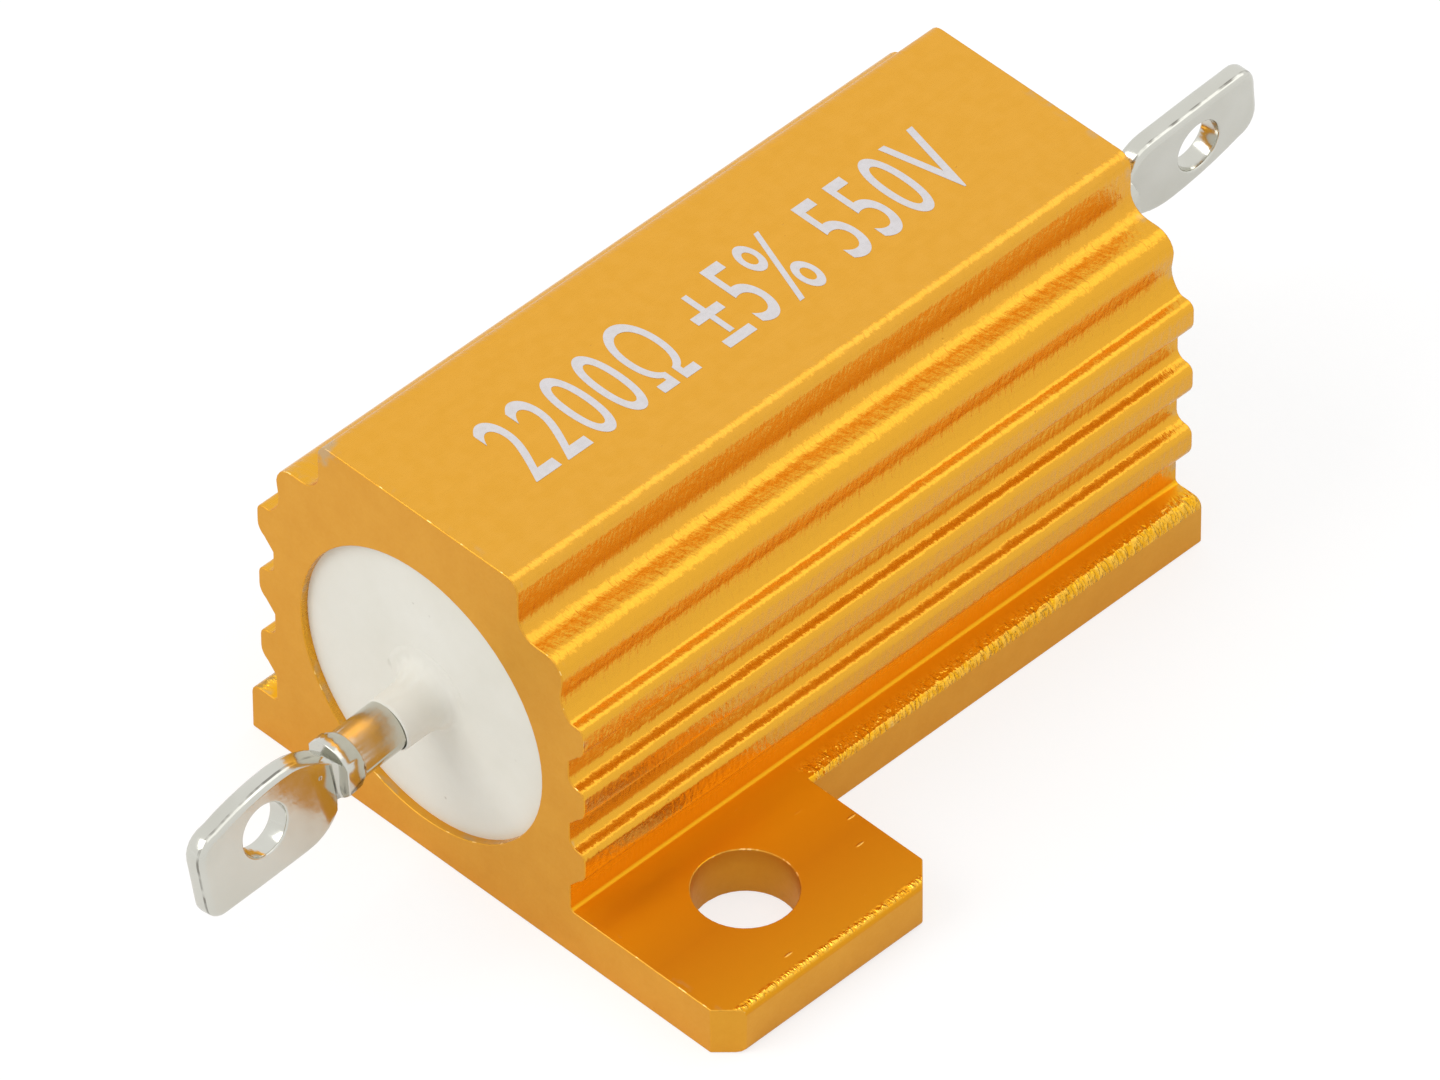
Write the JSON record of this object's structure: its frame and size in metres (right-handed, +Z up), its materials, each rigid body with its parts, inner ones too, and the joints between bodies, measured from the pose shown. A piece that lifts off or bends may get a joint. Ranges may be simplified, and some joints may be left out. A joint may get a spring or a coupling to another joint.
{
  "type": "aluminium housed power resistor",
  "caption": "Wire wound power resistor potted in a ribbed aluminium housing, with diagonal mounting feet and a solder lug at each end.",
  "frame": {"origin": "centre of the flat mounting face, under the middle of the bore", "axes": "+X along the bore towards the rear terminal, +Z up from the mounting face to the flat top, Y across the ribs"},
  "size_m": [0.0476, 0.0274, 0.0148],
  "materials": {
    "anodised_aluminium": "satin",
    "white_cement": "matte",
    "core_ceramic": "matte",
    "resistance_wire": "satin",
    "cap_steel": "satin",
    "tinned_copper": "satin"
  },
  "bodies": {
    "root": {"housing": "anodised_aluminium", "cement_fill": "white_cement", "ceramic_core": "core_ceramic", "resistance_winding": "resistance_wire", "end_cap_front": "cap_steel", "end_cap_rear": "cap_steel", "terminal_front": "tinned_copper", "terminal_rear": "tinned_copper"}
  },
  "joints": []
}
